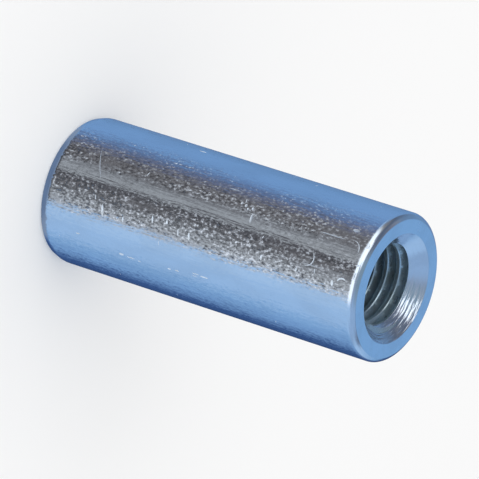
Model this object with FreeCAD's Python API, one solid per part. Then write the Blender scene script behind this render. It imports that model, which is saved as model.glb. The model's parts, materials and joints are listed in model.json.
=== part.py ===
import FreeCAD, Part
import math
import os

# Threaded rod reducer coupling: one piece, turned from round steel bar.
# It stands on its large end, with Z along the bar and the origin at the centre of that end face.
# Lengths are in millimetres and angles in degrees.

# The rod that each end takes: nominal thread diameter and thread pitch.
SMALL_ROD_DIAMETER = 10.0
SMALL_ROD_PITCH = 1.5
LARGE_ROD_DIAMETER = 12.0
LARGE_ROD_PITCH = 1.75

# How far each socket runs from its own end face to where the bore steps down.
SMALL_SOCKET_DEPTH = 20.0
LARGE_SOCKET_DEPTH = 20.0

# Metal left outside the large rod's nominal diameter.
BAR_WALL = 2.0

# Edge of the small end: a short steep chamfer, about 30 degrees to the end face.
SMALL_END_CHAMFER_LENGTH = 0.38
SMALL_END_CHAMFER_DEPTH = 0.6

# Edge of the large end: a long shallow chamfer.
LARGE_END_CHAMFER_LENGTH = 0.9
LARGE_END_CHAMFER_DEPTH = 0.3

# Countersink at both mouths: how far it reaches past the rod's nominal radius, and its full angle.
COUNTERSINK_LIP = 0.9
COUNTERSINK_ANGLE = 95.0

# Full angle of the drill point that leaves the step between the two bores.
DRILL_POINT_ANGLE = 118.0


def cone_length(radial_step, full_angle):
    """Length along the axis of a cone that changes radius by radial_step."""
    return radial_step / math.tan(math.radians(full_angle / 2))


def tap_drill_radius(rod_diameter, rod_pitch):
    """Radius of the hole drilled for a thread: the nominal diameter less one pitch, halved."""
    return (rod_diameter - rod_pitch) / 2


def mouth_radius(rod_diameter):
    """Radius of a countersink where it meets its end face."""
    return rod_diameter / 2 + COUNTERSINK_LIP


def half_section():
    """Section of the bar on one side of its axis, as corners of radius and height."""
    length = LARGE_SOCKET_DEPTH + SMALL_SOCKET_DEPTH
    bar_radius = LARGE_ROD_DIAMETER / 2 + BAR_WALL
    small_bore = tap_drill_radius(SMALL_ROD_DIAMETER, SMALL_ROD_PITCH)
    large_bore = tap_drill_radius(LARGE_ROD_DIAMETER, LARGE_ROD_PITCH)
    small_mouth = mouth_radius(SMALL_ROD_DIAMETER)
    large_mouth = mouth_radius(LARGE_ROD_DIAMETER)
    small_sink = cone_length(small_mouth - small_bore, COUNTERSINK_ANGLE)
    large_sink = cone_length(large_mouth - large_bore, COUNTERSINK_ANGLE)
    drill_point = cone_length(large_bore - small_bore, DRILL_POINT_ANGLE)
    outside = [
        (bar_radius - LARGE_END_CHAMFER_DEPTH, 0),
        (bar_radius, LARGE_END_CHAMFER_LENGTH),
        (bar_radius, length - SMALL_END_CHAMFER_LENGTH),
        (bar_radius - SMALL_END_CHAMFER_DEPTH, length),
    ]
    small_socket = [
        (small_mouth, length),
        (small_bore, length - small_sink),
        (small_bore, LARGE_SOCKET_DEPTH + drill_point),
    ]
    large_socket = [
        (large_bore, LARGE_SOCKET_DEPTH),
        (large_bore, large_sink),
        (large_mouth, 0),
    ]
    return outside + small_socket + large_socket


def turned_bar(corners):
    """Solid that the section sweeps out in one full turn about the bar's axis."""
    points = [FreeCAD.Vector(radius, 0, height) for radius, height in corners]
    section = Part.Face(Part.makePolygon(points + points[:1]))
    axis_point = FreeCAD.Vector(0, 0, 0)
    axis_direction = FreeCAD.Vector(0, 0, 1)
    return section.revolve(axis_point, axis_direction, 360)


os.makedirs("parts", exist_ok=True)
reducer_coupling = turned_bar(half_section())
reducer_coupling.exportStep("parts/reducer_coupling.step")
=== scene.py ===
import json
import math

import bpy
from mathutils import Matrix, Vector


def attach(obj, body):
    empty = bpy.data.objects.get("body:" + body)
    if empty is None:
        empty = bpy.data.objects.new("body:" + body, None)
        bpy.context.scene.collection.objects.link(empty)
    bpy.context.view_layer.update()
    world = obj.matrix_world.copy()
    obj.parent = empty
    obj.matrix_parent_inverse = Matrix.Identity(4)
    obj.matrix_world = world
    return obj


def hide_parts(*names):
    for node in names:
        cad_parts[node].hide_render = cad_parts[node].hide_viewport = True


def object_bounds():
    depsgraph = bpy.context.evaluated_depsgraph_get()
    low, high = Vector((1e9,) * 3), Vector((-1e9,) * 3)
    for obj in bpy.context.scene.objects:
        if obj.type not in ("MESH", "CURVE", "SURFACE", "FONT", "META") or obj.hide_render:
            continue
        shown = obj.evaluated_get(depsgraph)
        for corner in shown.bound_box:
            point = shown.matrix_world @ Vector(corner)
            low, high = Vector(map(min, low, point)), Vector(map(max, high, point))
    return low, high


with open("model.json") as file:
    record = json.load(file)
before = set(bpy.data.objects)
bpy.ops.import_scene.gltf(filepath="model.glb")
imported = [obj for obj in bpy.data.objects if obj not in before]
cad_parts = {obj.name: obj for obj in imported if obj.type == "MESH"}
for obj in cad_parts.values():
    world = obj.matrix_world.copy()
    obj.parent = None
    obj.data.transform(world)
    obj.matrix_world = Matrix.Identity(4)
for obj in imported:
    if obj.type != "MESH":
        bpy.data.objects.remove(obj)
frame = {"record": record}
CAD_LOW, CAD_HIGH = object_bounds()

# Sizes are in metres. The bar stands on its large end, and Z runs along it to the small end.
MM = 0.001
BAR_RADIUS = max(CAD_HIGH.x, CAD_HIGH.y)
BAR_LENGTH = CAD_HIGH.z
MOUNTS = {mount["name"]: mount for mount in frame["record"]["mounts"]}
SMALL_BORE = MOUNTS["small_rod_socket"]["dims"]["r_mm"] * MM
LARGE_BORE = MOUNTS["large_rod_socket"]["dims"]["r_mm"] * MM
SMALL_WALL = MOUNTS["small_rod_socket"]["dims"]["length_mm"] * MM
LARGE_WALL = MOUNTS["large_rod_socket"]["dims"]["length_mm"] * MM

# A tap drill is the rod's diameter less one pitch, so the rod is the bore plus half a pitch all round.
SMALL_PITCH = 1.5 * MM
LARGE_PITCH = 1.75 * MM
SMALL_ROD = SMALL_BORE + SMALL_PITCH / 2
LARGE_ROD = LARGE_BORE + LARGE_PITCH / 2
COUNTERSINK_LIP = 0.9 * MM
COUNTERSINK_ANGLE = math.radians(95)
SMALL_END_CHAMFER_LENGTH = 0.38 * MM
SMALL_END_CHAMFER_DEPTH = 0.6 * MM
LARGE_END_CHAMFER_LENGTH = 0.9 * MM
LARGE_END_CHAMFER_DEPTH = 0.3 * MM
# What the coupling's nodes are told.
COUPLING_SIZES = {
    "Bar Radius": BAR_RADIUS,
    "Bar Length": BAR_LENGTH,
    "Small Bore": SMALL_BORE,
    "Small Pitch": SMALL_PITCH,
    "Large Bore": LARGE_BORE,
    "Large Pitch": LARGE_PITCH,
}

# How far a tap runs past a mouth or the step, and how far the large one stops short of the step.
TAP_RUN_PAST = 1.5 * MM
TAP_STOP_SHORT = 2.0 * MM
SMALL_TAP_ANGLE = math.radians(-130)
LARGE_TAP_ANGLE = math.radians(140)

# Thread form: half the angle between its flanks, and its depth and root width as shares of the pitch.
THREAD_HALF_ANGLE = math.radians(30)
THREAD_DEPTH = 1 / 2
THREAD_ROOT = 1 / 8
# Break on both edges of the crest: its slope, and its depth as a share of the pitch.
CREST_BREAK_ANGLE = math.radians(48)
CREST_BREAK_DEPTH = 0.06
# How far a groove's cutter stands out into the open bore, as a share of the pitch.
CUTTER_STAND_OFF = 0.1
# What the cutters of a tap are told.
TAP_SIZES = ["Bore Radius", "Pitch", "Turns", "Start Height", "Start Angle"]

# How the bar's surface is divided, and how its turned edges are broken.
TURN_SEGMENTS = 224
THREAD_SEGMENTS = 96
SKIN_STEP = 0.4 * MM
EDGE_STEPS = 6
CRISP_EDGE = 0.06 * MM
MOUTH_EDGE = 0.05 * MM
FACE_EDGE = 0.18 * MM
SMALL_END_RIM = 0.70 * MM
LARGE_END_RIM = 1.6 * MM
# The points that hold a rounding stand this much further from the corner than the rounding reaches.
EDGE_MARGIN = 1.25
SHARP_EDGE = math.radians(20)
WELD_DISTANCE = 0.0005 * MM
# Turn that stands a flat drawing upright.
UPRIGHT = (math.radians(90), 0, 0)

# A turned face's radius times its outward lean, over the bar's radius: only the drawn skin has more than the
# first share, and only bores, the step and countersinks less than the second. The last two face along the
# bar by more than the third.
SKIN_SHARE = 0.97
BORE_SHARE = -0.1
COUNTERSINK_FACING = 0.3

# Marks on the drawn skin: bearing in degrees from the camera's side towards +X, height in millimetres,
# size round the bar and along it in millimetres, and share of bare zinc.
DENTS = [
    (11.7, 8.0, 1.3, 0.26, 1.0),
    (13.2, 10.7, 0.5, 0.22, 0.8),
    (6.4, 14.3, 0.8, 0.22, 0.9),
    (5.0, 16.1, 0.45, 0.26, 1.0),
    (9.9, 17.7, 0.65, 0.20, 0.8),
    (10.2, 19.1, 0.8, 0.24, 1.0),
    (8.6, 28.2, 0.55, 0.24, 1.0),
    (9.0, 32.6, 0.3, 0.18, 0.9),
    (10.4, 37.1, 0.6, 0.34, 1.0),
    (-16.6, 25.5, 1.0, 0.26, 0.4),
    (-26.3, 23.6, 0.35, 0.26, 0.5),
    (-25.3, 24.2, 0.4, 0.30, 0.6),
    (-23.1, 24.6, 0.3, 0.24, 0.5),
    (-24.6, 25.1, 0.35, 0.26, 0.5),
    (-33.3, 37.3, 0.4, 0.8, 0.35),
    (-68.7, 14.5, 0.2, 0.9, 1.0),
    (35.6, 5.1, 0.16, 0.5, 0.8),
    (41.7, 10.7, 0.26, 0.6, 1.0),
    (42.2, 11.9, 0.14, 1.0, 0.8),
    (42.9, 13.0, 0.14, 0.4, 0.7),
    (40.8, 16.9, 0.18, 0.4, 0.9),
    (40.2, 17.9, 0.16, 0.5, 0.9),
    (37.6, 20.3, 0.13, 0.9, 0.7),
    (39.6, 20.2, 0.13, 0.7, 0.5),
    (38.1, 21.4, 0.17, 1.0, 0.9),
    (-35.6, 21.9, 0.15, 1.5, 0.3),
    (-23.6, 35.2, 0.12, 3.2, 0.4),
    (2.9, 34.2, 0.12, 2.6, 0.2),
]
# Curved scratches: bearing and height of the curve's centre, its radius, where it starts, how far it turns,
# and its share of bare zinc.
CURLS = [
    (-1.6, 33.5, 0.8, -15, 165, 0.45),
    (9.4, 38.2, 0.6, 150, 95, 1.0),
    (-17.0, 37.7, 1.1, 80, 105, 0.4),
    (-91.0, 23.2, 20.0, -69.4, 16, 0.15),
]
# Dings on the edge of the small end: bearing and length round it.
RIM_DINGS = [
    (-24.0, 1.0),
    (-7.0, 0.6),
    (1.0, 1.3),
    (125.0, 0.8),
    (200.0, 0.5),
]
RIM_DING_WIDTH = 0.5 * MM
RIM_DING_DEPTH = 0.14 * MM
RIM_DING_BARE = 0.2
# Depth of a mark that is all bare zinc, and the share of it that a mark with none still has.
MARK_DEPTH = 0.03 * MM
FAINTEST_DEPTH = 0.15
# A mark stored on faces is a half on an edge at its border: that value, and how near to it counts.
MARK_BORDER = (0.5, 0.3)

# Tool that makes a dent: a ball that stands off the skin by a share of its radius, and its half size for
# each unit of the mark's size.
DENT_RISE = 0.5
DENT_HALF_SIZE = 0.58
DENT_LEAN = math.radians(-13)
DENT_SIZES = ["Height", "Length", "Depth", "Width", "Lean", "Bare"]
# Curved scratch: its width, its tool's radius, the tool's share of full size with no swell, and the share of
# the swell that is cut off at each end.
CURL_WIDTH = 0.24 * MM
CURL_TOOL = 0.6 * CURL_WIDTH
CURL_THINNEST = 0.84
CURL_CUT_SHORT = 0.1
CURL_STEPS = 24
CURL_SIDES = 16
CURL_SIZES = ["Height", "Curl Radius", "Start", "Sweep", "Depth", "Tool Radius", "Bare"]

# Small dents strewn over the skin: spacing, share of the places that get one, length of skin left clear,
# seed, and the least and most of each size.
SCATTER_SPACING = 3.0 * MM
SCATTER_SHARE = 0.2
SCATTER_CLEAR = 4.0 * MM
SCATTER_SEED = 11
SCATTER_LENGTH = (0.2 * MM, 0.6 * MM)
SCATTER_DEPTH = (0.3 * MARK_DEPTH, 0.8 * MARK_DEPTH)
SCATTER_WIDTH = (0.3 * CURL_WIDTH, 0.6 * CURL_WIDTH)
SCATTER_LEAN = (math.radians(-25), math.radians(25))
SCATTER_BARE = 0.6

# Zinc plate: the cool passivate, its duller patches, and the plate in the threads painted darker as shade of
# the bore.
PLATE_COOL = (0.62, 0.70, 0.80, 1)
PLATE_DULL = (0.58, 0.65, 0.74, 1)
SHADED_THREAD_COOL = (0.42, 0.54, 0.62, 1)
SHADED_THREAD_DULL = (0.36, 0.45, 0.48, 1)
BARE_ZINC = (0.73, 0.83, 0.94, 1)
BARE_DULL = (0.60, 0.66, 0.72, 1)
# How metallic the thin plate in the threads is, and how much of that a mark of bare zinc loses.
THREAD_METALLIC = 0.85
BARE_METALLIC_LOSS = 0.7

# Grains of the drawn skin: how far they lean, how much of that calm patches keep, and how much more they
# lean where the bar was tumbled against others, with the X and the Z where that starts and is full.
GRAIN_LEAN = 0.7
CALM_GRAIN = 0.55
TUMBLED_LEAN = 0.35
TUMBLED_SIDE = (-1.0 * MM, -4.5 * MM)
TUMBLED_END = (32.0 * MM, 14.0 * MM)
# Streak that the drawing die has rubbed: its bearing in degrees, the share of grain left in it, and in turns
# how far it wanders and where its edge starts and ends.
BURNISHED_BEARING = -12
BURNISHED_GRAIN = 0.4
BURNISHED_DRIFT = 0.012
BURNISHED_EDGE = (0.008, 0.020)
# Turning tools cut cleanly on one side of the axis and chattered on the other: the X where that starts and
# is full, and the share of the rings' depth on the clean side.
CHATTER_SIDE = (-2.0 * MM, 1.0 * MM)
CLEAN_CUT = 0.2
# Rings on end faces and chamfers, and the coarser ones of the countersink tool: repeats per metre, and how
# far one runs before it fades.
FACE_RINGS = {"Scale": 7000.0, "Reach": 4.0 * MM}
SINK_RINGS = {"Scale": 3800.0, "Reach": 2.2 * MM}

# Relief of the finishes, in millimetres.
LUMP_DEPTH = 0.026
DIMPLE_DEPTH = 0.010
STREAK_DEPTH = 0.022
FINE_LINE_DEPTH = 0.010
FACE_RING_DEPTH = 0.004
SINK_RING_DEPTH = 0.13
TURNED_SCUFF_DEPTH = 0.003
TAP_LINE_DEPTH = 0.014
TAP_SCUFF_DEPTH = 0.010
BARE_GRAIN_DEPTH = 0.004
# Roughness of the finishes, and what their lines and marks add to it.
SKIN_ROUGHNESS = 0.08
FINE_LINE_ROUGHNESS = 0.10
DIMPLE_ROUGHNESS = 0.06
TURNED_ROUGHNESS = 0.1
RING_ROUGHNESS = 0.16
THREAD_ROUGHNESS = 0.20
TAP_LINE_ROUGHNESS = 0.2
SCUFF_ROUGHNESS = 0.1
MARK_ROUGHNESS = 0.15
BARE_ROUGHNESS = 0.25
BARE_GRAIN_ROUGHNESS = 0.2

# The photograph's camera: its angles to the bar, distance and lens, the place of the bar's middle in the
# picture, and the range that it sees.
PICTURE_SIZE = 479
CAMERA_ELEVATION = math.radians(31.51)
BAR_SLOPE_IN_PICTURE = math.radians(17.8)
CAMERA_DISTANCE = 0.578
FOCAL_PIXELS = 5545
BAR_MIDDLE_IN_PICTURE = (237.5, 237.45)
SENSOR_WIDTH = 36.0
CAMERA_NEAREST = 0.01
CAMERA_FURTHEST = 10.0

# White room and floor, and one soft lamp: its sides, power, distance and direction from the bar's foot.
ROOM_WHITE = (0.96, 0.96, 0.96, 1)
FLOOR_WHITE = (0.94, 0.94, 0.94, 1)
FLOOR_REACH = 3.0
LAMP_SIDES = (0.40, 0.36)
LAMP_POWER = 0.5
LAMP_DISTANCE = 0.7
LAMP_ELEVATION = math.radians(48)
LAMP_BEARING = math.radians(-43)

# What the plate mirrors: cards round the part, by bearing in degrees from the camera's side towards +X.
BLUE = (0.24, 0.42, 0.70, 1)
PALE_BLUE = (0.46, 0.66, 0.92, 1)
SKY_BLUE = (0.55, 0.74, 0.97, 1)
MID_BLUE = (0.31, 0.52, 0.80, 1)
DUSK_BLUE = (0.19, 0.35, 0.60, 1)
DEEP_BLUE = (0.05, 0.11, 0.28, 1)
NIGHT_BLUE = (0.03, 0.07, 0.17, 1)
SHADE_BLUE = (0.16, 0.24, 0.42, 1)
STEEL_BLUE = (0.19, 0.26, 0.39, 1)
SOFT_BLUE = (0.37, 0.53, 0.76, 1)
CLEAR_BLUE = (0.265, 0.485, 0.78, 1)
SLATE = (0.12, 0.15, 0.21, 1)
LILAC = (0.19, 0.20, 0.28, 1)
SOOT = (0.07, 0.065, 0.065, 1)
DIM = (0.12, 0.115, 0.115, 1)
SHADOW = (0.12, 0.11, 0.115, 1)
DARK = (0.205, 0.185, 0.18, 1)
ASH = (0.25, 0.245, 0.30, 1)
GREY = (0.29, 0.28, 0.28, 1)
LIGHT_GREY = (0.48, 0.47, 0.46, 1)
BRIGHT_GREY = (0.62, 0.62, 0.64, 1)
PALE_GREY = (0.31, 0.38, 0.50, 1)
HAZE = (0.34, 0.42, 0.56, 1)
MIST = (0.39, 0.44, 0.50, 1)
ZENITH = (0.27, 0.37, 0.45, 1)
PEARL = (0.72, 0.70, 0.70, 1)
SHEEN = (1.0, 0.98, 0.98, 1)
GLINT = (1.15, 1.13, 1.13, 1)
WINDOW = (1.5, 1.53, 1.56, 1)
BLUE_BEHIND = [
    (-180, SHADE_BLUE),
    (-148, DUSK_BLUE),
    (-126, BLUE),
]
BLUE_BESIDE = [
    (80, PALE_BLUE),
    (98, MID_BLUE),
    (116, BLUE),
    (142, DEEP_BLUE),
    (180, NIGHT_BLUE),
]
FLOOR_CARDS = [
    *BLUE_BEHIND,
    (-100, BLUE),
    (-82, SLATE),
    (-66, SOOT),
    (-14, SOOT),
    (2, DIM),
    (34, DIM),
    (40, PALE_BLUE),
    *BLUE_BESIDE,
]
LOWER_CARDS = [
    *BLUE_BEHIND,
    (-105, BLUE),
    (-84, SHADE_BLUE),
    (-72, LILAC),
    (-60, DARK),
    (-48, DARK),
    (-34, GREY),
    (-27, LIGHT_GREY),
    (-22, LIGHT_GREY),
    (-18, SHADOW),
    (-12, SHADOW),
    (-2, DARK),
    (8, GREY),
    (22, LIGHT_GREY),
    (33, BRIGHT_GREY),
    (40, SKY_BLUE),
    (50, SKY_BLUE),
    (62, PALE_BLUE),
    *BLUE_BESIDE,
]
SILL_CARDS = [
    *BLUE_BEHIND,
    (-105, BLUE),
    (-82, SKY_BLUE),
    (-68, PEARL),
    (-44, PEARL),
    (-34, SHEEN),
    (-24, SHEEN),
    (-18, PEARL),
    (-6, PEARL),
    (6, SHEEN),
    (18, GLINT),
    (34, GLINT),
    (41, SKY_BLUE),
    (62, PALE_BLUE),
    *BLUE_BESIDE,
]
HORIZON_CARDS = [
    *BLUE_BEHIND,
    (-105, BLUE),
    (-84, GREY),
    (-68, WINDOW),
    (32, WINDOW),
    (46, PALE_BLUE),
    *BLUE_BESIDE,
]
EYE_LEVEL_CARDS = [
    (-180, CLEAR_BLUE),
    (-110, SLATE),
    (-84, GREY),
    (-68, WINDOW),
    (32, WINDOW),
    (46, PALE_BLUE),
    (64, PALE_BLUE),
    (80, SOFT_BLUE),
    (100, SOFT_BLUE),
    (112, PALE_BLUE),
    (135, PALE_BLUE),
    (155, CLEAR_BLUE),
    (180, CLEAR_BLUE),
]
UPPER_CARDS = [
    (-180, CLEAR_BLUE),
    (-150, SHADE_BLUE),
    (-134, MIST),
    (-124, ASH),
    (-114, SLATE),
    (-95, SLATE),
    (-76, ASH),
    (-58, GREY),
    (-30, MIST),
    (0, MIST),
    (36, HAZE),
    (66, SOFT_BLUE),
    (118, SOFT_BLUE),
    (130, SLATE),
    (142, SLATE),
    (154, CLEAR_BLUE),
    (180, CLEAR_BLUE),
]
# Rings of cards from the lowest up, each over the one before: the sine of the elevation where it starts to
# show and where it covers, and its cards or its one colour. Straight below is plain steel blue.
CARD_RINGS = [
    (-0.88, -0.84, PALE_GREY),
    (-0.79, -0.73, FLOOR_CARDS),
    (-0.70, -0.54, LOWER_CARDS),
    (-0.51, -0.28, SILL_CARDS),
    (-0.24, -0.14, HORIZON_CARDS),
    (0.0, 0.12, EYE_LEVEL_CARDS),
    (0.50, 0.66, UPPER_CARDS),
    (0.90, 0.98, ZENITH),
]


def node(tree, kind, inputs=None, **settings):
    """One node, with its options set and its sockets given values or links."""
    made = tree.nodes.new(kind)
    for name, value in settings.items():
        setattr(made, name, value)
    for key, value in (inputs or {}).items():
        socket = made.inputs[key]
        for item in value if isinstance(value, list) else [value]:
            if isinstance(item, bpy.types.NodeSocket):
                tree.links.new(item, socket)
            else:
                socket.default_value = item
    return made


def maths(tree, operation, first, second=0.0, third=0.0):
    """Output of one math node."""
    made = node(tree, "ShaderNodeMath", {0: first, 1: second, 2: third}, operation=operation)
    return made.outputs[0]


def vector_maths(tree, operation, first, second=(0, 0, 0), scale=1.0):
    """Output of one vector math node. Its socket 3 is the scale."""
    made = node(tree, "ShaderNodeVectorMath", {0: first, 1: second, 3: scale}, operation=operation)
    return made.outputs["Value" if operation == "LENGTH" else "Vector"]


def joined(tree, x=0.0, y=0.0, z=0.0):
    """Vector of three values."""
    return node(tree, "ShaderNodeCombineXYZ", {0: x, 1: y, 2: z}).outputs[0]


def split(tree, vector):
    """X, Y and Z of a vector."""
    return node(tree, "ShaderNodeSeparateXYZ", {0: vector}).outputs


def blend(tree, share, first, second):
    """Colour from the first to the second as the share goes from 0 to 1. Sockets 6 and 7 are colours."""
    made = node(tree, "ShaderNodeMix", {0: share, 6: first, 7: second}, data_type="RGBA")
    return made.outputs[2]


def eased(tree, value, low, high):
    """Smooth step from 0 at low to 1 at high."""
    made = node(
        tree,
        "ShaderNodeMapRange",
        {"Value": value, "From Min": low, "From Max": high},
        interpolation_type="SMOOTHSTEP",
    )
    return made.outputs[0]


def at_least(tree, value, least):
    """Goes from the least to 1 as the value goes from 0 to 1."""
    return maths(tree, "MULTIPLY_ADD", value, 1 - least, least)


def weighted_sum(tree, parts, base=0.0):
    """The base plus each value times its own weight."""
    total = base
    for value, weight in parts:
        total = maths(tree, "MULTIPLY_ADD", value, weight, total)
    return total


def new_group(name, kind, inputs, outputs):
    """An empty node group with named sockets. Returns the tree, its input node and its output node."""
    tree = bpy.data.node_groups.new(name, kind)
    for label, socket in inputs:
        tree.interface.new_socket(label, in_out="INPUT", socket_type="NodeSocket" + socket)
    for label, socket in outputs:
        tree.interface.new_socket(label, in_out="OUTPUT", socket_type="NodeSocket" + socket)
    return tree, node(tree, "NodeGroupInput"), node(tree, "NodeGroupOutput")


def new_cutter_group(name, sizes, cutters):
    """An empty group that makes cutters from sizes. Returns the tree, its sizes and its output node."""
    tree, given, made = new_group(
        name,
        "GeometryNodeTree",
        [(label, "Float") for label in sizes],
        [(label, "Geometry") for label in cutters],
    )
    return tree, [given.outputs[label] for label in sizes], made


def grouped(tree, group, inputs):
    """Outputs of one use of a node group."""
    kind = "GeometryNodeGroup" if tree.type == "GEOMETRY" else "ShaderNodeGroup"
    return node(tree, kind, inputs, node_tree=group).outputs


def moved(tree, shape, **how):
    """The shape moved, turned or scaled."""
    return node(tree, "GeometryNodeTransform", {"Geometry": shape, **how}).outputs[0]


def helical_groove_group():
    """Sweeps a groove with straight flanks along a right-hand helix in a bore, as a solid to cut away."""
    form = ["Depth", "Root Width", "Flank Angle"]
    tree, sizes, made = new_cutter_group("helical_groove", form + TAP_SIZES, ["Cutter"])
    depth, root, flank, bore, pitch, turns, height, angle = sizes
    stand_off = maths(tree, "MULTIPLY", pitch, CUTTER_STAND_OFF)
    inner = maths(tree, "MULTIPLY", stand_off, -1.0)
    half_root = maths(tree, "MULTIPLY", root, 0.5)
    rise = maths(tree, "ADD", depth, stand_off)
    half_mouth = maths(tree, "MULTIPLY_ADD", rise, maths(tree, "TANGENT", flank), half_root)
    places = [
        (inner, half_mouth, -1),
        (depth, half_root, -1),
        (depth, half_root, 1),
        (inner, half_mouth, 1),
    ]
    corners = {}
    for number, (across, half, side) in enumerate(places):
        along = maths(tree, "MULTIPLY", half, side)
        corners[f"Point {number + 1}"] = joined(tree, across, along)
    section = node(tree, "GeometryNodeCurvePrimitiveQuadrilateral", corners, mode="POINTS")
    helix = node(
        tree,
        "GeometryNodeCurveSpiral",
        {
            "Resolution": THREAD_SEGMENTS,
            "Rotations": turns,
            "Start Radius": bore,
            "End Radius": bore,
            "Height": maths(tree, "MULTIPLY", turns, pitch),
            "Reverse": True,
        },
    )
    upright = node(tree, "GeometryNodeSetCurveNormal", {"Curve": helix.outputs[0]}, mode="Z_UP")
    sweep = node(
        tree,
        "GeometryNodeCurveToMesh",
        {"Curve": upright.outputs[0], "Profile Curve": section.outputs[0], "Fill Caps": True},
    )
    start = joined(tree, z=height)
    placed = moved(tree, sweep.outputs[0], Translation=start, Rotation=joined(tree, z=angle))
    tree.links.new(marked_faces(tree, placed, "tapped", True), made.inputs[0])
    return tree


def tap_group(groove):
    """What a tap takes out of a bore: its thread, and the burr broken off both edges of the crest."""
    tree, sizes, made = new_cutter_group("tap", TAP_SIZES, ["Thread", "Crest Break"])
    shared = dict(zip(TAP_SIZES, sizes))
    pitch = shared["Pitch"]
    root = maths(tree, "MULTIPLY", pitch, THREAD_ROOT)
    depth = maths(tree, "MULTIPLY", pitch, THREAD_DEPTH)
    break_depth = maths(tree, "MULTIPLY", pitch, CREST_BREAK_DEPTH)
    left_below = maths(tree, "SUBTRACT", depth, break_depth)
    break_root = maths(tree, "MULTIPLY_ADD", left_below, 2 * math.tan(THREAD_HALF_ANGLE), root)
    cuts = [(depth, root, THREAD_HALF_ANGLE), (break_depth, break_root, CREST_BREAK_ANGLE)]
    for number, (cut_depth, cut_root, flank) in enumerate(cuts):
        form = {"Depth": cut_depth, "Root Width": cut_root, "Flank Angle": flank}
        cutter = grouped(tree, groove, {**form, **shared})
        tree.links.new(cutter[0], made.inputs[number])
    return tree


def section_outline():
    """Corners of the bar's half section, up the bores and down the outside: radius, height, rounding."""
    small_mouth = SMALL_ROD + COUNTERSINK_LIP
    large_mouth = LARGE_ROD + COUNTERSINK_LIP
    sink_slope = math.tan(COUNTERSINK_ANGLE / 2)
    small_sink = BAR_LENGTH - (small_mouth - SMALL_BORE) / sink_slope
    large_sink = (large_mouth - LARGE_BORE) / sink_slope
    return [
        (large_mouth, 0, MOUTH_EDGE),
        (LARGE_BORE, large_sink, CRISP_EDGE),
        (LARGE_BORE, large_sink + LARGE_WALL, CRISP_EDGE),
        (SMALL_BORE, small_sink - SMALL_WALL, CRISP_EDGE),
        (SMALL_BORE, small_sink, CRISP_EDGE),
        (small_mouth, BAR_LENGTH, MOUTH_EDGE),
        (BAR_RADIUS - SMALL_END_CHAMFER_DEPTH, BAR_LENGTH, FACE_EDGE),
        (BAR_RADIUS, BAR_LENGTH - SMALL_END_CHAMFER_LENGTH, SMALL_END_RIM),
        (BAR_RADIUS, LARGE_END_CHAMFER_LENGTH, LARGE_END_RIM),
        (BAR_RADIUS - LARGE_END_CHAMFER_DEPTH, 0, FACE_EDGE),
    ]


def divided_outline(corners):
    """The outline with points beside each corner to hold its rounding, and even steps along the skin."""
    places = [Vector(corner[:2]) for corner in corners]
    runs = [places[(number + 1) % len(places)] - place for number, place in enumerate(places)]
    reach = []
    for number, (radius, height, rounding) in enumerate(corners):
        turn = runs[number - 1].angle(runs[number])
        reach.append(EDGE_MARGIN * rounding * math.tan(turn / 2))
    points = []
    for number, (radius, height, rounding) in enumerate(corners):
        run = runs[number]
        after = reach[number]
        before = reach[(number + 1) % len(corners)]
        on_skin = radius == BAR_RADIUS and run.x == 0
        steps = round(run.length / SKIN_STEP) if on_skin else 1
        plain_run = run.length - after - before
        points.append((places[number], rounding))
        for step in range(steps + 1):
            points.append((places[number] + run.normalized() * (after + plain_run * step / steps), 0.0))
    return points


def outline_object(points):
    """The half section as a closed line of edges in the XZ plane, with the rounding of each point."""
    mesh = bpy.data.meshes.new("coupling")
    edges = [(number, (number + 1) % len(points)) for number in range(len(points))]
    mesh.from_pydata([(place.x, 0, place.y) for place, rounding in points], edges, [])
    roundings = mesh.attributes.new("rounding", "FLOAT", "POINT")
    roundings.data.foreach_set("value", [rounding for place, rounding in points])
    piece = bpy.data.objects.new("coupling", mesh)
    bpy.context.scene.collection.objects.link(piece)
    return piece


def marked_faces(tree, body, mark, value, kind="BOOLEAN"):
    """The body with a value stored on its faces under the mark's name."""
    made = node(
        tree,
        "GeometryNodeStoreNamedAttribute",
        {"Geometry": body, "Name": mark, "Value": value},
        data_type=kind,
        domain="FACE",
    )
    return made.outputs[0]


def stored(tree, mark):
    """The value stored under a mark's name."""
    return node(tree, "GeometryNodeInputNamedAttribute", {"Name": mark}, data_type="FLOAT").outputs[0]


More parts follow.
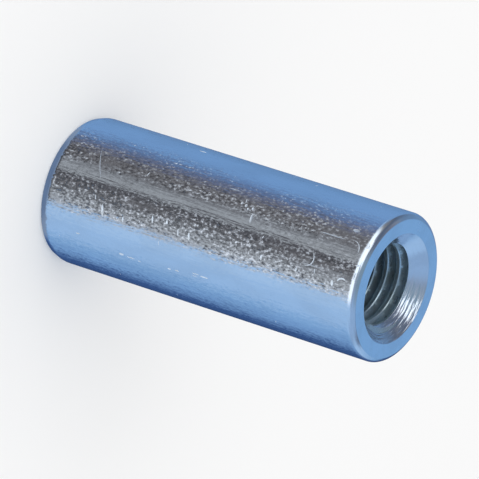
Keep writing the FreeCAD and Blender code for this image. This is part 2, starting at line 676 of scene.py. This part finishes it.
def turned_bar(tree, section, bar_radius):
    """The half section with its edges eased, turned about Z, with what each tool has cut marked."""
    line = node(tree, "GeometryNodeMeshToCurve", {"Mesh": section})
    soft = node(
        tree,
        "GeometryNodeFilletCurve",
        {
            "Curve": line.outputs[0],
            "Count": EDGE_STEPS,
            "Radius": stored(tree, "rounding"),
            "Limit Radius": True,
        },
        mode="POLY",
    )
    inwards = maths(tree, "MULTIPLY", bar_radius, -1.0)
    laid = moved(tree, soft.outputs[0], Translation=joined(tree, x=inwards), Rotation=UPRIGHT)
    circle = node(
        tree,
        "GeometryNodeCurvePrimitiveCircle",
        {"Resolution": TURN_SEGMENTS, "Radius": bar_radius},
    )
    upright = node(tree, "GeometryNodeSetCurveNormal", {"Curve": circle.outputs[0]}, mode="Z_UP")
    bar = node(tree, "GeometryNodeCurveToMesh", {"Curve": upright.outputs[0], "Profile Curve": laid})
    place = split(tree, node(tree, "GeometryNodeInputPosition").outputs[0])
    facing = split(tree, node(tree, "GeometryNodeInputNormal").outputs[0])
    outwards = maths(tree, "MULTIPLY", place[0], facing[0])
    outwards = maths(tree, "MULTIPLY_ADD", place[1], facing[1], outwards)
    inside = maths(tree, "LESS_THAN", outwards, maths(tree, "MULTIPLY", bar_radius, BORE_SHARE))
    slanted = maths(tree, "GREATER_THAN", maths(tree, "ABSOLUTE", facing[2]), COUNTERSINK_FACING)
    surfaces = {
        "turned": maths(tree, "LESS_THAN", outwards, maths(tree, "MULTIPLY", bar_radius, SKIN_SHARE)),
        "tapped": inside,
        "countersunk": maths(tree, "MULTIPLY", inside, slanted),
    }
    body = bar.outputs[0]
    for mark, there in surfaces.items():
        body = marked_faces(tree, body, mark, there)
    return body


def cut_away(tree, body, cutters):
    """The body less the cutters."""
    made = node(
        tree,
        "GeometryNodeMeshBoolean",
        {"Mesh 1": body, "Mesh 2": cutters},
        operation="DIFFERENCE",
        solver="MANIFOLD",
    )
    return made.outputs[0]


def rolled_onto_bar(tree, flat, bar_radius, bare):
    """A flat drawing wrapped round the bar: X runs round it, Y into the metal, and Z stays the height.

    Its faces note that they are a mark, and how much of the zinc in it is bare.
    """
    place = split(tree, node(tree, "GeometryNodeInputPosition").outputs[0])
    bearing = maths(tree, "DIVIDE", place[0], bar_radius)
    radius = maths(tree, "SUBTRACT", bar_radius, place[1])
    right = maths(tree, "MULTIPLY", radius, maths(tree, "SINE", bearing))
    front = maths(tree, "MULTIPLY", radius, maths(tree, "COSINE", bearing))
    back = maths(tree, "MULTIPLY", front, -1.0)
    rolled = joined(tree, right, back, place[2])
    cutter = node(tree, "GeometryNodeSetPosition", {"Geometry": flat, "Position": rolled}).outputs[0]
    for mark, value in [("marked", 1.0), ("bare", bare)]:
        cutter = marked_faces(tree, cutter, mark, value, "FLOAT")
    return cutter


def dent_shape(tree, subdivisions):
    """A ball that stands off the skin, to be stretched into a dent."""
    ball = node(tree, "GeometryNodeMeshIcoSphere", {"Radius": 1.0, "Subdivisions": subdivisions})
    return moved(tree, ball.outputs[0], Translation=(0, -DENT_RISE, 0))


def dent_scale(tree, length, depth, width):
    """Scale that gives the dent shape a length round the bar, a depth into it and a width along it."""
    half_length = maths(tree, "MULTIPLY", length, DENT_HALF_SIZE)
    ball_depth = maths(tree, "MULTIPLY", depth, 1 / (1 - DENT_RISE))
    half_width = maths(tree, "MULTIPLY", width, DENT_HALF_SIZE)
    return joined(tree, half_length, ball_depth, half_width)


def dent_group():
    """One dent in the skin, as a solid to cut away."""
    tree, sizes, made = new_cutter_group("dent", ["Bar Radius", "Bearing"] + DENT_SIZES, ["Cutter"])
    bar_radius, bearing, height, length, depth, width, lean, bare = sizes
    around = maths(tree, "MULTIPLY", bearing, bar_radius)
    placed = moved(
        tree,
        dent_shape(tree, subdivisions=3),
        Translation=joined(tree, x=around, z=height),
        Rotation=joined(tree, y=lean),
        Scale=dent_scale(tree, length, depth, width),
    )
    tree.links.new(rolled_onto_bar(tree, placed, bar_radius, bare), made.inputs[0])
    return tree


def curl_group():
    """One curved scratch that thins out at both ends, as a solid to cut away."""
    tree, sizes, made = new_cutter_group("curl", ["Bar Radius", "Bearing"] + CURL_SIZES, ["Cutter"])
    bar_radius, bearing, height, radius, start, sweep, depth, tool, bare = sizes
    arc = node(
        tree,
        "GeometryNodeCurveArc",
        {"Resolution": CURL_STEPS, "Radius": radius, "Start Angle": start, "Sweep Angle": sweep},
        mode="RADIUS",
    )
    along = node(tree, "GeometryNodeSplineParameter").outputs["Factor"]
    full_swell = (1 - 2 * CURL_CUT_SHORT) * math.pi
    swell = maths(tree, "SINE", maths(tree, "MULTIPLY_ADD", along, full_swell, CURL_CUT_SHORT * math.pi))
    point = node(tree, "GeometryNodeCurvePrimitiveCircle", {"Resolution": CURL_SIDES, "Radius": tool})
    scratch = node(
        tree,
        "GeometryNodeCurveToMesh",
        {
            "Curve": arc.outputs[0],
            "Profile Curve": point.outputs[0],
            "Scale": at_least(tree, swell, CURL_THINNEST),
            "Fill Caps": True,
        },
    )
    around = maths(tree, "MULTIPLY", bearing, bar_radius)
    inwards = maths(tree, "SUBTRACT", depth, tool)
    centre = joined(tree, around, inwards, height)
    placed = moved(tree, scratch.outputs[0], Translation=centre, Rotation=UPRIGHT)
    tree.links.new(rolled_onto_bar(tree, placed, bar_radius, bare), made.inputs[0])
    return tree


def random_value(tree, low, high, seed):
    """A different value for each point, the same in every run. Sockets 2, 3 and 8 are range and seed."""
    made = node(tree, "FunctionNodeRandomValue", {2: low, 3: high, 8: seed}, data_type="FLOAT")
    return made.outputs[1]


def scattered_dents(tree, bar_radius, bar_length):
    """Small dents from handling, strewn over the whole skin."""
    girth = maths(tree, "MULTIPLY", bar_radius, 2 * math.pi)
    strewn_length = maths(tree, "SUBTRACT", bar_length, SCATTER_CLEAR)
    sheet = node(
        tree,
        "GeometryNodeMeshGrid",
        {"Size X": girth, "Size Y": strewn_length, "Vertices X": 2, "Vertices Y": 2},
    )
    middle = maths(tree, "MULTIPLY", bar_length, 0.5)
    upright = moved(tree, sheet.outputs[0], Translation=joined(tree, z=middle), Rotation=UPRIGHT)
    places = node(
        tree,
        "GeometryNodeDistributePointsOnFaces",
        {
            "Mesh": upright,
            "Distance Min": SCATTER_SPACING,
            "Density Max": SCATTER_SHARE / SCATTER_SPACING**2,
            "Seed": SCATTER_SEED,
        },
        distribute_method="POISSON",
    )
    size = dent_scale(
        tree,
        random_value(tree, *SCATTER_LENGTH, seed=1),
        random_value(tree, *SCATTER_DEPTH, seed=2),
        random_value(tree, *SCATTER_WIDTH, seed=3),
    )
    lean = random_value(tree, *SCATTER_LEAN, seed=4)
    dents = node(
        tree,
        "GeometryNodeInstanceOnPoints",
        {
            "Points": places.outputs[0],
            "Instance": dent_shape(tree, subdivisions=2),
            "Rotation": joined(tree, y=lean),
            "Scale": size,
        },
    )
    flat = node(tree, "GeometryNodeRealizeInstances", {"Geometry": dents.outputs[0]})
    return rolled_onto_bar(tree, flat.outputs[0], bar_radius, SCATTER_BARE)


def depth_of(bare):
    """Depth of a mark, which goes deeper where more of its zinc is bare."""
    return MARK_DEPTH * (FAINTEST_DEPTH + (1 - FAINTEST_DEPTH) * bare)


def handling_marks(tree, bar_radius, bar_length):
    """Cutters for every mark on the skin and on the edge of the small end."""
    rim_height = BAR_LENGTH - SMALL_END_CHAMFER_LENGTH
    dents = []
    for bearing, height, length, width, bare in DENTS:
        lean = DENT_LEAN if length > width else 0.0
        dents.append((bearing, height * MM, length * MM, depth_of(bare), width * MM, lean, bare))
    for bearing, length in RIM_DINGS:
        dents.append((bearing, rim_height, length * MM, RIM_DING_DEPTH, RIM_DING_WIDTH, 0.0, RIM_DING_BARE))
    curls = []
    for bearing, height, radius, start, sweep, bare in CURLS:
        arc = (math.radians(start), math.radians(sweep))
        curls.append((bearing, height * MM, radius * MM, *arc, depth_of(bare), CURL_TOOL, bare))
    cutters = [scattered_dents(tree, bar_radius, bar_length)]
    for group, labels, marks in [(dent_group(), DENT_SIZES, dents), (curl_group(), CURL_SIZES, curls)]:
        for bearing, *sizes in marks:
            place = {"Bar Radius": bar_radius, "Bearing": math.radians(bearing)}
            cutters += list(grouped(tree, group, {**place, **dict(zip(labels, sizes))}))
    return cutters


def plated(tree, body, materials):
    """The body with slivers closed up and crisp edges kept, and each kind of surface given its finish."""
    welded = node(tree, "GeometryNodeMergeByDistance", {"Geometry": body, "Distance": WELD_DISTANCE})
    smooth = node(tree, "GeometryNodeSetShadeSmooth", {"Geometry": welded.outputs[0], "Shade Smooth": True})
    fold = node(tree, "GeometryNodeInputMeshEdgeAngle")
    folded = maths(tree, "GREATER_THAN", fold.outputs[0], SHARP_EDGE)
    on_border = maths(tree, "COMPARE", stored(tree, "marked"), *MARK_BORDER)
    crisp = maths(tree, "MAXIMUM", folded, on_border)
    edged = node(
        tree,
        "GeometryNodeSetShadeSmooth",
        {"Geometry": smooth.outputs[0], "Selection": crisp, "Shade Smooth": False},
        domain="EDGE",
    )
    whole = node(tree, "GeometryNodeRealizeInstances", {"Geometry": edged.outputs[0]})
    finished = node(
        tree,
        "GeometryNodeSetMaterial",
        {"Geometry": whole.outputs[0], "Material": materials["drawn"]},
    )
    for mark in ["turned", "tapped", "countersunk", "marked"]:
        finished = node(
            tree,
            "GeometryNodeSetMaterial",
            {
                "Geometry": finished.outputs[0],
                "Selection": stored(tree, mark),
                "Material": materials[mark],
            },
        )
    return finished.outputs[0]


def coupling_group(materials):
    """Turns the half section into the bar, taps both bores and plates the result."""
    tree, given, made = new_group(
        "turned_and_tapped",
        "GeometryNodeTree",
        [("Section", "Geometry")] + [(label, "Float") for label in COUPLING_SIZES],
        [("Coupling", "Geometry")],
    )
    bar = turned_bar(tree, given.outputs["Section"], given.outputs["Bar Radius"])
    tap = tap_group(helical_groove_group())
    small_turns = math.ceil((BAR_LENGTH / 2 + 2 * TAP_RUN_PAST) / SMALL_PITCH)
    small_start = BAR_LENGTH + TAP_RUN_PAST - small_turns * SMALL_PITCH
    large_turns = (LARGE_WALL - TAP_STOP_SHORT + TAP_RUN_PAST) / LARGE_PITCH
    cutters = []
    for end, turns, start, angle in [
        ("Small", small_turns, small_start, SMALL_TAP_ANGLE),
        ("Large", large_turns, -TAP_RUN_PAST, LARGE_TAP_ANGLE),
    ]:
        sizes = {
            "Bore Radius": given.outputs[end + " Bore"],
            "Pitch": given.outputs[end + " Pitch"],
            "Turns": turns,
            "Start Height": start,
            "Start Angle": angle,
        }
        cutters += list(grouped(tree, tap, sizes))
    cutters += handling_marks(tree, given.outputs["Bar Radius"], given.outputs["Bar Length"])
    tree.links.new(plated(tree, cut_away(tree, bar, cutters), materials), made.inputs[0])
    return tree


def set_inputs(modifier, values):
    """Gives a Geometry Nodes modifier its named sizes."""
    for socket in modifier.node_group.interface.items_tree:
        if socket.in_out == "INPUT" and socket.name in values:
            modifier[socket.identifier] = values[socket.name]


def made_mesh(piece):
    """Gives a piece the mesh that its modifiers make, and removes them."""
    depsgraph = bpy.context.evaluated_depsgraph_get()
    mesh = bpy.data.meshes.new_from_object(piece.evaluated_get(depsgraph))
    piece.modifiers.clear()
    piece.data = mesh
    for number in reversed(range(len(mesh.materials))):
        if mesh.materials[number] is None:
            mesh.materials.pop(index=number)
    return piece


def coupling(materials):
    """The whole part: one turned, tapped and plated bar."""
    piece = outline_object(divided_outline(section_outline()))
    modifier = piece.modifiers.new("turned_and_tapped", "NODES")
    modifier.node_group = coupling_group(materials)
    set_inputs(modifier, COUPLING_SIZES)
    return made_mesh(piece)


def stretched(tree, vector, around, along):
    """Object coordinates with a pattern's size across and along the bar set apart."""
    made = node(tree, "ShaderNodeMapping", {"Vector": vector, "Scale": (around, around, along)})
    return made.outputs[0]


def noise(tree, vector, scale, detail=3.0, roughness=0.5):
    """Height of a plain noise, about a half on average."""
    made = node(
        tree,
        "ShaderNodeTexNoise",
        {"Vector": vector, "Scale": scale, "Detail": detail, "Roughness": roughness},
    )
    return made.outputs[0]


def bearing_round_bar(tree, vector):
    """Share of a full turn round Z, a half on the camera's side and more towards +X."""
    turned = node(tree, "ShaderNodeMapping", {"Vector": vector, "Rotation": (0, 0, math.radians(90))})
    made = node(tree, "ShaderNodeTexGradient", {"Vector": turned.outputs[0]}, gradient_type="RADIAL")
    return made.outputs[1]


def plate_tint_group():
    """Colour of the plate: the cool passivate with duller patches, both a little uneven."""
    tree, given, made = new_group(
        "plate_tint",
        "ShaderNodeTree",
        [("Vector", "Vector"), ("Patch Scale", "Float"), ("Cool", "Color"), ("Dull", "Color")],
        [("Color", "Color")],
    )
    vector = given.outputs["Vector"]
    patches = noise(tree, vector, given.outputs["Patch Scale"], detail=4.0, roughness=0.6)
    share = eased(tree, patches, low=0.4, high=0.68)
    tint = blend(tree, share, given.outputs["Cool"], given.outputs["Dull"])
    tree.links.new(tint, made.inputs[0])
    return tree


def scuffs_group():
    """Small marks from handling: a height that is 0 on the plain plate and -1 in a mark, and a mask."""
    tree, given, made = new_group(
        "scuffs",
        "ShaderNodeTree",
        [("Vector", "Vector"), ("Scale", "Float"), ("Share", "Float")],
        [("Height", "Float"), ("Mask", "Float")],
    )
    cells = node(
        tree,
        "ShaderNodeTexVoronoi",
        {"Vector": given.outputs["Vector"], "Scale": given.outputs["Scale"]},
    )
    spot = maths(tree, "SUBTRACT", 1.0, eased(tree, cells.outputs["Distance"], low=0.05, high=0.32))
    chance = node(tree, "ShaderNodeSeparateColor", {0: cells.outputs["Color"]})
    picked = maths(tree, "LESS_THAN", chance.outputs[0], given.outputs["Share"])
    mask = maths(tree, "MULTIPLY", spot, picked)
    tree.links.new(maths(tree, "MULTIPLY", mask, -1.0), made.inputs["Height"])
    tree.links.new(mask, made.inputs["Mask"])
    return tree


def tool_rings_group():
    """Rings that a turning tool leaves round the axis. Each runs for about the reach before it fades."""
    tree, given, made = new_group(
        "tool_rings",
        "ShaderNodeTree",
        [("Vector", "Vector"), ("Scale", "Float"), ("Reach", "Float")],
        [("Height", "Float")],
    )
    fineness = given.outputs["Scale"]
    flat = vector_maths(tree, "MULTIPLY", given.outputs["Vector"], (1, 1, 0))
    radius = vector_maths(tree, "LENGTH", flat)
    fading = maths(tree, "DIVIDE", 1.0, maths(tree, "MULTIPLY", fineness, given.outputs["Reach"]))
    drift = vector_maths(tree, "SCALE", flat, scale=fading)
    rings = vector_maths(tree, "ADD", joined(tree, z=radius), drift)
    tree.links.new(noise(tree, rings, fineness, detail=2.0), made.inputs["Height"])
    return tree


def new_material(name):
    """A metal material. Returns the material, its node tree, its shader and its object coordinates."""
    material = bpy.data.materials.new(name)
    material.use_nodes = True
    tree = material.node_tree
    shader = tree.nodes["Principled BSDF"]
    shader.inputs["Metallic"].default_value = 1.0
    return material, tree, shader, node(tree, "ShaderNodeTexCoord").outputs["Object"]


def dress(tree, shader, colour, rough, height, **more):
    """Gives a shader its colour, its roughness, and relief from a height in millimetres."""
    relief = {"Height": height, "Distance": MM, "Strength": 1.0, **more}
    bump = node(tree, "ShaderNodeBump", relief).outputs[0]
    for label, value in [("Base Color", colour), ("Roughness", rough), ("Normal", bump)]:
        tree.links.new(value, shader.inputs[label])


def burnished_streak(tree, place):
    """Share of the grain that is left: little along the streak that the drawing die has rubbed."""
    drift = noise(tree, stretched(tree, place, around=1.0, along=0.15), scale=500.0, detail=2.0)
    off_line = maths(tree, "SUBTRACT", bearing_round_bar(tree, place), 0.5 + BURNISHED_BEARING / 360)
    off_line = maths(tree, "ABSOLUTE", maths(tree, "MULTIPLY_ADD", drift, BURNISHED_DRIFT, off_line))
    return at_least(tree, eased(tree, off_line, *BURNISHED_EDGE), BURNISHED_GRAIN)


def tumbled_lean(tree, place):
    """How far the grains lean: more on the side and end where the bar was tumbled against others."""
    spot = split(tree, place)
    beside = eased(tree, spot["X"], *TUMBLED_SIDE)
    tumbled = maths(tree, "MULTIPLY", beside, eased(tree, spot["Z"], *TUMBLED_END))
    return weighted_sum(tree, [(tumbled, TUMBLED_LEAN)], GRAIN_LEAN)


def leaning_grains(tree, place, lean):
    """Normal of a skin whose small grains each lean their own way, more along the bar than round it."""
    facing = node(tree, "ShaderNodeNewGeometry").outputs["Normal"]
    grains = node(
        tree,
        "ShaderNodeTexNoise",
        {
            "Vector": stretched(tree, place, around=1.0, along=0.6),
            "Scale": 4200.0,
            "Detail": 3.0,
            "Roughness": 0.6,
        },
    )
    way = vector_maths(tree, "SUBTRACT", grains.outputs["Color"], (0.5, 0.5, 0.5))
    tilt = vector_maths(tree, "SCALE", stretched(tree, way, around=0.3, along=1.0), scale=lean)
    return vector_maths(tree, "NORMALIZE", vector_maths(tree, "ADD", facing, tilt))


def drawn_skin(tint, scuffs):
    """Outside of the bar: bright plate over drawing lines, with busier and calmer patches of dimples."""
    material, tree, shader, place = new_material("drawn_skin")
    patches = {"Vector": stretched(tree, place, around=1.0, along=0.4), "Patch Scale": 300.0}
    colour = grouped(tree, tint, {**patches, "Cool": PLATE_COOL, "Dull": PLATE_DULL})[0]
    lumps = noise(tree, stretched(tree, place, around=1.25, along=0.5), scale=2000.0, detail=2.0)
    streaks = noise(tree, stretched(tree, place, around=1.0, along=0.06), scale=2200.0)
    fine_lines = noise(tree, stretched(tree, place, around=1.0, along=0.15), scale=5000.0, detail=2.0)
    spots = {"Vector": stretched(tree, place, around=1.1, along=0.9), "Scale": 2000.0, "Share": 0.3}
    dimples = grouped(tree, scuffs, spots)
    busy = noise(tree, stretched(tree, place, around=1.0, along=0.25), scale=420.0, detail=2.0)
    busy = at_least(tree, eased(tree, busy, low=0.40, high=0.58), CALM_GRAIN)
    busy = maths(tree, "MULTIPLY", busy, burnished_streak(tree, place))
    rough_skin = weighted_sum(tree, [(lumps, LUMP_DEPTH), (dimples["Height"], DIMPLE_DEPTH)])
    rough_skin = maths(tree, "MULTIPLY", rough_skin, busy)
    height = weighted_sum(tree, [(streaks, STREAK_DEPTH), (fine_lines, FINE_LINE_DEPTH)], rough_skin)
    added = [(fine_lines, FINE_LINE_ROUGHNESS), (dimples["Mask"], DIMPLE_ROUGHNESS)]
    rough = weighted_sum(tree, added, SKIN_ROUGHNESS)
    lean = maths(tree, "MULTIPLY", busy, tumbled_lean(tree, place))
    dress(tree, shader, colour, rough, height, Normal=leaning_grains(tree, place, lean))
    return material


def turned_finish(name, tint, scuffs, ring_group, ring_sizes, ring_depth):
    """Plate over tool rings of the given sizes and depth, deepest where the tool chattered."""
    material, tree, shader, place = new_material(name)
    patches = {"Vector": place, "Patch Scale": 420.0}
    colour = grouped(tree, tint, {**patches, "Cool": PLATE_COOL, "Dull": PLATE_DULL})[0]
    rings = grouped(tree, ring_group, {"Vector": place, **ring_sizes})["Height"]
    marks = grouped(tree, scuffs, {"Vector": place, "Scale": 1400.0, "Share": 0.08})
    side = split(tree, place)["X"]
    chatter = at_least(tree, eased(tree, side, *CHATTER_SIDE), CLEAN_CUT)
    cut = maths(tree, "MULTIPLY", rings, chatter)
    height = weighted_sum(tree, [(cut, ring_depth), (marks["Height"], TURNED_SCUFF_DEPTH)])
    added = [(rings, RING_ROUGHNESS), (marks["Mask"], SCUFF_ROUGHNESS)]
    dress(tree, shader, colour, weighted_sum(tree, added, TURNED_ROUGHNESS), height)
    return material


def tapped_threads(tint, scuffs):
    """Threads: plate painted darker as shade of the bore, over the lines that the tap leaves along the
    flanks.
    """
    material, tree, shader, place = new_material("tapped_threads")
    shader.inputs["Metallic"].default_value = THREAD_METALLIC
    patches = {"Vector": place, "Patch Scale": 500.0}
    # Painted shade: the threads' plate colours are darkened to stand in for the shade down in the bore.
    colour = grouped(tree, tint, {**patches, "Cool": SHADED_THREAD_COOL, "Dull": SHADED_THREAD_DULL})[0]
    lines = noise(tree, stretched(tree, place, around=0.12, along=1.0), scale=6000.0, detail=2.0)
    marks = grouped(tree, scuffs, {"Vector": place, "Scale": 1800.0, "Share": 0.12})
    height = weighted_sum(tree, [(lines, TAP_LINE_DEPTH), (marks["Height"], TAP_SCUFF_DEPTH)])
    added = [(lines, TAP_LINE_ROUGHNESS), (marks["Mask"], SCUFF_ROUGHNESS)]
    dress(tree, shader, colour, weighted_sum(tree, added, THREAD_ROUGHNESS), height)
    return material


def bare_marks(tint):
    """Dents and scratches: the passivate is rubbed off, and the zinc under it is bright but not smooth."""
    material, tree, shader, place = new_material("bare_marks")
    bare = node(tree, "ShaderNodeAttribute", attribute_name="bare").outputs["Fac"]
    cool = blend(tree, bare, PLATE_COOL, BARE_ZINC)
    dull = blend(tree, bare, PLATE_DULL, BARE_DULL)
    patches = {"Vector": place, "Patch Scale": 1500.0}
    colour = grouped(tree, tint, {**patches, "Cool": cool, "Dull": dull})[0]
    grain = noise(tree, place, scale=9000.0)
    height = weighted_sum(tree, [(grain, BARE_GRAIN_DEPTH)])
    added = [(grain, BARE_GRAIN_ROUGHNESS), (bare, BARE_ROUGHNESS)]
    metallic = weighted_sum(tree, [(bare, -BARE_METALLIC_LOSS)], 1.0)
    tree.links.new(metallic, shader.inputs["Metallic"])
    dress(tree, shader, colour, weighted_sum(tree, added, MARK_ROUGHNESS), height)
    return material


def zinc_finishes():
    """The finishes of the plated bar, by the tool that made the steel under the plate."""
    tint = plate_tint_group()
    scuffs = scuffs_group()
    shared = (tint, scuffs, tool_rings_group())
    return {
        "drawn": drawn_skin(tint, scuffs),
        "turned": turned_finish("turned_ends", *shared, FACE_RINGS, FACE_RING_DEPTH),
        "countersunk": turned_finish("countersunk_mouths", *shared, SINK_RINGS, SINK_RING_DEPTH),
        "tapped": tapped_threads(tint, scuffs),
        "marked": bare_marks(tint),
    }


def place_camera():
    """The photograph's camera: above the standing bar, rolled so that the bar slopes as it does there."""
    camera = bpy.data.cameras.new("camera")
    camera.sensor_width = SENSOR_WIDTH
    camera.lens = FOCAL_PIXELS * SENSOR_WIDTH / PICTURE_SIZE
    camera.clip_start = CAMERA_NEAREST
    camera.clip_end = CAMERA_FURTHEST
    rise = math.sin(CAMERA_ELEVATION)
    reach = math.cos(CAMERA_ELEVATION)
    back = Vector((0, -reach, rise))
    bar_way = Vector((0, rise, reach))
    across = back.cross(bar_way)
    slope = BAR_SLOPE_IN_PICTURE
    right = bar_way * math.cos(slope) + across * math.sin(slope)
    up = across * math.cos(slope) - bar_way * math.sin(slope)
    centre_pixel = (PICTURE_SIZE - 1) / 2
    rightwards, downwards = [pixel - centre_pixel for pixel in BAR_MIDDLE_IN_PICTURE]
    shift = (right * rightwards - up * downwards) * CAMERA_DISTANCE / FOCAL_PIXELS
    place = Vector((0, 0, BAR_LENGTH / 2)) + back * CAMERA_DISTANCE - shift
    view = bpy.data.objects.new("camera", camera)
    view.matrix_world = Matrix.Translation(place) @ Matrix((right, up, back)).transposed().to_4x4()
    bpy.context.scene.collection.objects.link(view)
    bpy.context.scene.camera = view


def pale_floor():
    """Plain pale floor. The plate doesn't mirror it: the part was photographed with nothing under it."""
    mesh = bpy.data.meshes.new("floor")
    corners = [
        (-FLOOR_REACH, -FLOOR_REACH, 0),
        (FLOOR_REACH, -FLOOR_REACH, 0),
        (FLOOR_REACH, FLOOR_REACH, 0),
        (-FLOOR_REACH, FLOOR_REACH, 0),
    ]
    mesh.from_pydata(corners, [], [(0, 1, 2, 3)])
    piece = bpy.data.objects.new("floor", mesh)
    bpy.context.scene.collection.objects.link(piece)
    material = bpy.data.materials.new("floor")
    material.use_nodes = True
    shader = material.node_tree.nodes["Principled BSDF"]
    shader.inputs["Base Color"].default_value = FLOOR_WHITE
    shader.inputs["Roughness"].default_value = 1.0
    shader.inputs["Specular IOR Level"].default_value = 0.0
    mesh.materials.append(material)
    piece.visible_glossy = False


def ring_of_cards(tree, bearing, cards):
    """Colours round the part, one for each card's bearing."""
    ramp = node(tree, "ShaderNodeValToRGB", {"Fac": bearing})
    stops = ramp.color_ramp.elements
    while len(stops) < len(cards):
        stops.new(0.5)
    for stop, (degrees, colour) in zip(stops, cards):
        stop.position = degrees / 360 + 0.5
        stop.color = colour
    return ramp.outputs[0]


def studio_world():
    """White room light, with blue and grey cards that only the metal mirrors."""
    world = bpy.data.worlds.new("studio")
    world.use_nodes = True
    tree = world.node_tree
    way = node(tree, "ShaderNodeTexCoord").outputs["Generated"]
    bearing = bearing_round_bar(tree, way)
    height = split(tree, way)["Z"]
    cards = STEEL_BLUE
    for low, high, ring in CARD_RINGS:
        if isinstance(ring, list):
            ring = ring_of_cards(tree, bearing, ring)
        cards = blend(tree, eased(tree, height, low, high), cards, ring)
    path = node(tree, "ShaderNodeLightPath")
    seen = blend(tree, path.outputs["Is Glossy Ray"], ROOM_WHITE, cards)
    tree.links.new(seen, tree.nodes["Background"].inputs["Color"])
    bpy.context.scene.world = world


def key_lamp():
    """One soft lamp, above and to the left of the camera. It shines on the rim and in the countersink."""
    lamp = bpy.data.lights.new("key", "AREA")
    lamp.shape = "RECTANGLE"
    lamp.size, lamp.size_y = LAMP_SIDES
    lamp.energy = LAMP_POWER
    reach = math.cos(LAMP_ELEVATION)
    rise = math.sin(LAMP_ELEVATION)
    way = Vector((reach * math.sin(LAMP_BEARING), -reach * math.cos(LAMP_BEARING), rise))
    facing = way.to_track_quat("Z", "Y").to_matrix().to_4x4()
    key = bpy.data.objects.new("key", lamp)
    key.matrix_world = Matrix.Translation(way * LAMP_DISTANCE) @ facing
    key.visible_camera = False
    bpy.context.scene.collection.objects.link(key)


bpy.context.scene.view_settings.view_transform = "Standard"
place_camera()
pale_floor()
studio_world()
key_lamp()
whole_part = coupling(zinc_finishes())
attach(whole_part, "root")
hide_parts("reducer_coupling")
